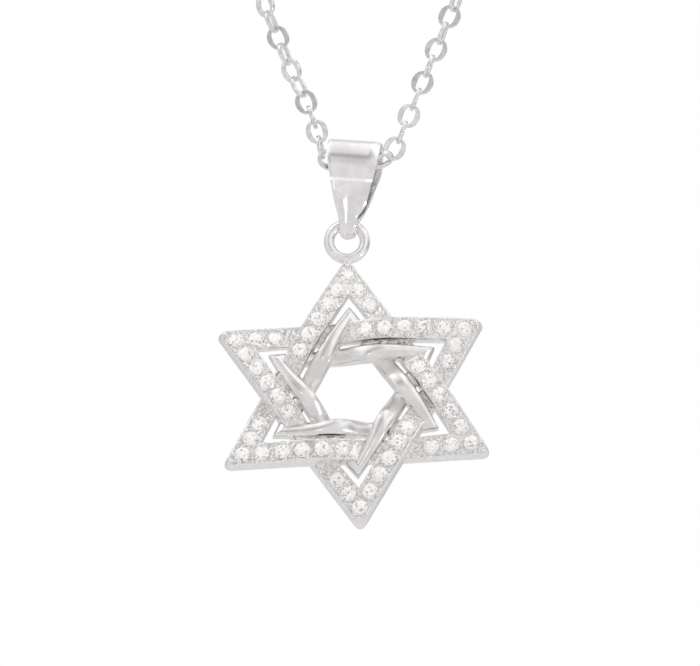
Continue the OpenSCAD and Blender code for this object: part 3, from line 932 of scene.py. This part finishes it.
def stone_material():
    """Clear stone: a painted mosaic of bright and dark flashes with faint painted fire, standing
    in for the light its facets return, the same colours also painted as a glow.
    """
    mat, nodes, links, bsdf = new_material("clear_stone")
    bsdf.inputs["Transmission Weight"].default_value = STONE_CLEAR
    bsdf.inputs["IOR"].default_value = STONE_IOR
    bsdf.inputs["Roughness"].default_value = STONE_ROUGH
    geometry = nodes.new("ShaderNodeNewGeometry")
    coords = nodes.new("ShaderNodeTexCoord").outputs["Object"]
    cells = nodes.new("ShaderNodeTexVoronoi")
    cells.inputs["Scale"].default_value = PAINTED_FLASH_CELLS
    links.new(coords, cells.inputs["Vector"])
    add = nodes.new("ShaderNodeVectorMath")
    add.operation = "MULTIPLY_ADD"
    add.inputs[1].default_value = (PAINTED_FLASH_TURN, PAINTED_FLASH_TURN, PAINTED_FLASH_TURN)
    links.new(geometry.outputs["True Normal"], add.inputs[0])
    links.new(cells.outputs["Color"], add.inputs[2])
    ramp = nodes.new("ShaderNodeValToRGB")
    elements = ramp.color_ramp.elements
    for place, _ in PAINTED_FLASH_TONES[1:-1]:
        elements.new(place)
    for element, (place, tone) in zip(elements, PAINTED_FLASH_TONES):
        element.position, element.color = place, (*tone, 1)
    # Painted flashes: noise over the cells, turned by each facet's normal, sets the stone's base
    # colour
    painted_flash_pattern = noise(nodes, links, add.outputs["Vector"], PAINTED_FLASH_SCALE, 1.0)
    links.new(painted_flash_pattern, ramp.inputs["Fac"])
    links.new(ramp.outputs["Color"], bsdf.inputs["Base Color"])
    # Painted glow: the flash colours are also emitted, though the stones are no lamp
    links.new(ramp.outputs["Color"], bsdf.inputs["Emission Color"])
    bsdf.inputs["Emission Strength"].default_value = STONE_PAINTED_GLOW
    return mat


polished = silver("polished_silver", (0.97, 0.95, 0.945), rough=0.11)
bright = silver("bar_silver", (0.925, 0.908, 0.9), rough=0.2)
satin = silver("satin_silver", (0.98, 0.965, 0.96), rough=0.2, grain=0.18, mottle_scale=3000)
field = silver("grained_silver", (0.98, 0.96, 0.95), rough=0.2, grain=0.6, dark=0.74,
               mottle_scale=4200)
link_silver = silver("link_silver", (0.95, 0.94, 0.935), rough=0.12, dark=0.82,
                     mottle_scale=2400)
# Stones with painted flashes and a painted glow
clear = stone_material()


# How far inside its band a bar begins; what counts as the band's sunk field, by insets from the
# edges, by facing front and by lying near it; and how far over the field a bead's top is smooth
BAR_FROM, FIELD_FROM, FIELD_TO, FIELD_FACING, FIELD_NEAR = 0.05, 0.13, 0.05, -0.25, 0.25
BEAD_TOP = 0.05
# Share of a side's bow that counts for its whole length
MEAN_BOW = 0.6


def inset_of(p):
    """How far a point of a triangle lies inside its nearest side."""
    return min(float((on_side(k, 0.5, 0) - SIDE_BOW * OUTWARD[k] - p) @ OUTWARD[k]
                     + SIDE_BOW * MEAN_BOW) for k in range(3))


def paint_frame(obj):
    """Grained sunk fields, satin bands and ring, smooth bars and bead tops."""
    for material in (bright, field, satin):
        obj.data.materials.append(material)
    for face in obj.data.polygons:
        c, n = face.center, face.normal
        sides = [np.array([way * c.x, way * c.z]) for way in (1, -1)]
        levels = [-c.y - front(p) for p in sides]
        own = int(abs(levels[1]) < abs(levels[0]))
        inset, level = inset_of(sides[own]), levels[own]
        in_field = BAND_OUT + FIELD_FROM < inset < BAND_IN - FIELD_TO and abs(level) < FIELD_NEAR
        if inset > BAND_IN + BAR_FROM:
            face.material_index = 0
        elif n.y < FIELD_FACING and in_field:
            face.material_index = 0 if level > BEAD_TOP - FIELD_DROP else 1
        else:
            face.material_index = 2


# How squarely a face of the bail looks inward to count as its inside
INWARD = -0.2


def paint_bail(obj):
    """Polished outside, satin inside."""
    for material in (polished, satin):
        obj.data.materials.append(material)
    for face in obj.data.polygons:
        c = face.center
        out = Vector((0, c.y, max(0.0, c.z - BAIL_TOP_Z) + min(0.0, c.z)))
        face.material_index = int(face.normal.dot(out) < INWARD * out.length)


# ---- Pieces
metal = star_frame()
paint_frame(metal)
crisp(metal, angle=32)
to_frame(metal, HANG_STAR)
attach(metal, "star")
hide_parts("star_frame")

for name, node, way in (("stones_of_upright", "stones_upright", 1),
                        ("stones_of_inverted", "stones_inverted", -1)):
    set_stones = stones(name, way)
    face_outward(set_stones)
    set_stones.data.materials.append(clear)
    to_frame(set_stones, HANG_STAR)
    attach(set_stones, "star")
    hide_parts(node)

leaf = bail()
paint_bail(leaf)
crisp(leaf, angle=35)
to_frame(leaf, HANG_BAIL)
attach(leaf, "bail")
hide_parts("bail")

links_obj = chain_links()
face_outward(links_obj)
links_obj.data.materials.append(link_silver)
crisp(links_obj, angle=40)
to_frame(links_obj, Matrix.Identity(4))
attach(links_obj, "chain")
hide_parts("chain")

clasp_obj = clasp()
clasp_obj.data.materials.append(polished)
crisp(clasp_obj, angle=35)
to_frame(clasp_obj, Matrix.Translation((0, 0, CHAIN_TOP_Z)))
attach(clasp_obj, "chain")
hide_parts("clasp")


# ---- Studio
# Metres from here on
FLOOR_Z, FLOOR_HALF = -1.5, 12.0
FLOOR_TONE, FLOOR_ROUGH = (0.86, 0.86, 0.86, 1), 0.6
FLOOR_SCALE, FLOOR_DEPTH, FLOOR_BUMP = 60, 0.0003, 0.1


def floor():
    """Pale ground, far below the chain."""
    mat, nodes, links, bsdf = new_material("floor")
    bsdf.inputs["Base Color"].default_value = FLOOR_TONE
    bsdf.inputs["Roughness"].default_value = FLOOR_ROUGH
    coords = nodes.new("ShaderNodeTexCoord").outputs["Object"]
    grit = noise(nodes, links, coords, FLOOR_SCALE)
    links.new(bump(nodes, links, grit, FLOOR_DEPTH, FLOOR_BUMP), bsdf.inputs["Normal"])
    size = FLOOR_HALF
    obj = mesh_object("floor", [(-size, -size, FLOOR_Z), (size, -size, FLOOR_Z),
                                (size, size, FLOOR_Z), (-size, size, FLOOR_Z)], [(0, 1, 2, 3)])
    obj.data.materials.append(mat)


def area_light(name, place, target, size, power, mirrored):
    """Square lamp; only a mirrored one shows in the metal's reflections."""
    data = bpy.data.lights.new(name, "AREA")
    data.energy, data.shape, data.size = power, "SQUARE", size
    obj = bpy.data.objects.new(name, data)
    obj.location = place
    obj.rotation_mode = "QUATERNION"
    obj.rotation_quaternion = (Vector(target) - Vector(place)).to_track_quat("-Z", "Y")
    obj.visible_camera = False
    obj.visible_glossy = mirrored
    bpy.context.scene.collection.objects.link(obj)


# Straight ahead of the piece, as the photograph's camera faces it, the studio is greyest
AHEAD = (0.0, -0.974, 0.225)
AHEAD_LEVELS = [(-1.0, 0.56), (-0.55, 0.59), (0.0, 0.94), (0.7, 0.98), (0.83, 0.91), (0.92, 0.72),
                (1.0, 0.68)]
# Cards that dim or brighten the studio: direction, then pairs of cosine and factor
CARDS = [((0.0, 0.42, 0.91), [(-1.0, 1.0), (0.55, 1.0), (0.8, 1.12), (1.0, 1.25)]),
         ((0.1, -0.76, -0.64), [(-1.0, 1.0), (0.86, 1.0), (0.93, 0.62), (1.0, 0.5)]),
         ((-0.99, 0.0, 0.1), [(-1.0, 1.0), (0.78, 1.0), (0.9, 0.68), (1.0, 0.62)]),
         ((0.99, 0.0, 0.1), [(-1.0, 1.0), (0.78, 1.0), (0.9, 0.68), (1.0, 0.62)])]
# Broad unevenness of the studio, stretched along depth and height
UNEVEN_STRETCH, UNEVEN_SCALE = (1.0, 0.2, 0.45), 2.6
UNEVEN_FACTORS, UNEVEN_RANGE = (0.64, 1.12), (0.36, 0.56)


def by_direction(nodes, links, direction, toward, levels):
    """Grey level by how squarely a direction faces toward; levels are pairs of cosine and grey."""
    facing = nodes.new("ShaderNodeVectorMath")
    facing.operation = "DOT_PRODUCT"
    facing.inputs[1].default_value = toward
    links.new(direction, facing.inputs[0])
    ramp = nodes.new("ShaderNodeValToRGB")
    elements = ramp.color_ramp.elements
    for cosine, _ in levels[1:-1]:
        elements.new((cosine + 1) / 2)
    for element, (cosine, level) in zip(elements, levels):
        element.position = (cosine + 1) / 2
        element.color = (level, level, level, 1)
    links.new(spread(nodes, links, facing.outputs["Value"], 0, 1, -1, 1), ramp.inputs["Fac"])
    return ramp.outputs["Color"]


def studio_light(nodes, links):
    """Light of the studio by direction: its room, its cards and its unevenness."""
    direction = nodes.new("ShaderNodeTexCoord").outputs["Generated"]
    room = by_direction(nodes, links, direction, AHEAD, AHEAD_LEVELS)
    for toward, factors in CARDS:
        card = nodes.new("ShaderNodeVectorMath")
        card.operation = "MULTIPLY"
        links.new(room, card.inputs[0])
        links.new(by_direction(nodes, links, direction, toward, factors), card.inputs[1])
        room = card.outputs["Vector"]
    squeeze = nodes.new("ShaderNodeMapping")
    squeeze.inputs["Scale"].default_value = UNEVEN_STRETCH
    links.new(direction, squeeze.inputs["Vector"])
    uneven = noise(nodes, links, squeeze.outputs["Vector"], UNEVEN_SCALE, 1.0)
    dim = nodes.new("ShaderNodeVectorMath")
    dim.operation = "SCALE"
    links.new(room, dim.inputs[0])
    links.new(spread(nodes, links, uneven, *UNEVEN_FACTORS, *UNEVEN_RANGE), dim.inputs["Scale"])
    return dim.outputs["Vector"]


def world():
    """Soft studio: greyest in front, with uneven cards; the camera itself sees plain white."""
    w = bpy.data.worlds.new("studio")
    bpy.context.scene.world = w
    w.use_nodes = True
    nodes, links = w.node_tree.nodes, w.node_tree.links
    links.new(studio_light(nodes, links), nodes["Background"].inputs["Color"])
    nodes["Background"].inputs["Strength"].default_value = 1.0
    plain = nodes.new("ShaderNodeBackground")
    plain.inputs["Color"].default_value = (1, 1, 1, 1)
    plain.inputs["Strength"].default_value = 1.0
    mix = nodes.new("ShaderNodeMixShader")
    links.new(nodes.new("ShaderNodeLightPath").outputs["Is Camera Ray"], mix.inputs["Fac"])
    links.new(nodes["Background"].outputs["Background"], mix.inputs[1])
    links.new(plain.outputs["Background"], mix.inputs[2])
    links.new(mix.outputs["Shader"], nodes["World Output"].inputs["Surface"])


# The photograph's size, scale and upward view, and where the star's middle lies in it
PHOTO_W, PHOTO_H, PX_PER_MM = 700, 666, 13.4
LOOK_UP = 16.0
STAR_PX = (353.7, 392.5)
LENS, SENSOR, CLIP = 700.0, 36.0, (0.01, 20)


def camera():
    """Camera in front and below, looking up at the photograph's angle."""
    centre = HANG_STAR @ Vector((0, 0, 0))
    ahead = Vector((0, cosd(LOOK_UP), sind(LOOK_UP)))
    up = Vector((0, -sind(LOOK_UP), cosd(LOOK_UP)))
    aim = (centre + Vector((1, 0, 0)) * (PHOTO_W / 2 - STAR_PX[0]) / PX_PER_MM
           + up * (STAR_PX[1] - PHOTO_H / 2) / PX_PER_MM)
    away = LENS * (PHOTO_W / PX_PER_MM) / SENSOR
    data = bpy.data.cameras.new("photo_camera")
    data.lens, data.sensor_width = LENS, SENSOR
    data.clip_start, data.clip_end = CLIP
    cam = bpy.data.objects.new("photo_camera", data)
    cam.location = (aim - ahead * away) * MM
    cam.rotation_mode = "QUATERNION"
    cam.rotation_quaternion = ahead.to_track_quat("-Z", "Y")
    bpy.context.scene.collection.objects.link(cam)
    bpy.context.scene.camera = cam


floor()
world()
camera()
# Where the lamps point: near the star
STAR_AT = (0, 0, -0.2)
area_light("key", (-0.3, -0.5, 0.15), STAR_AT, size=0.25, power=1.1, mirrored=False)
area_light("spark", (-0.36, -0.13, 0.33), STAR_AT, size=0.07, power=0.1, mirrored=True)
area_light("leaf_glint", (-0.2, -0.58, -0.29), STAR_AT, size=0.08, power=0.022, mirrored=True)
area_light("low_spark", (0.45, -0.3, -0.45), STAR_AT, size=0.05, power=0.12, mirrored=True)
bpy.context.scene.view_settings.view_transform = "Standard"
bpy.context.scene.view_settings.look = "None"
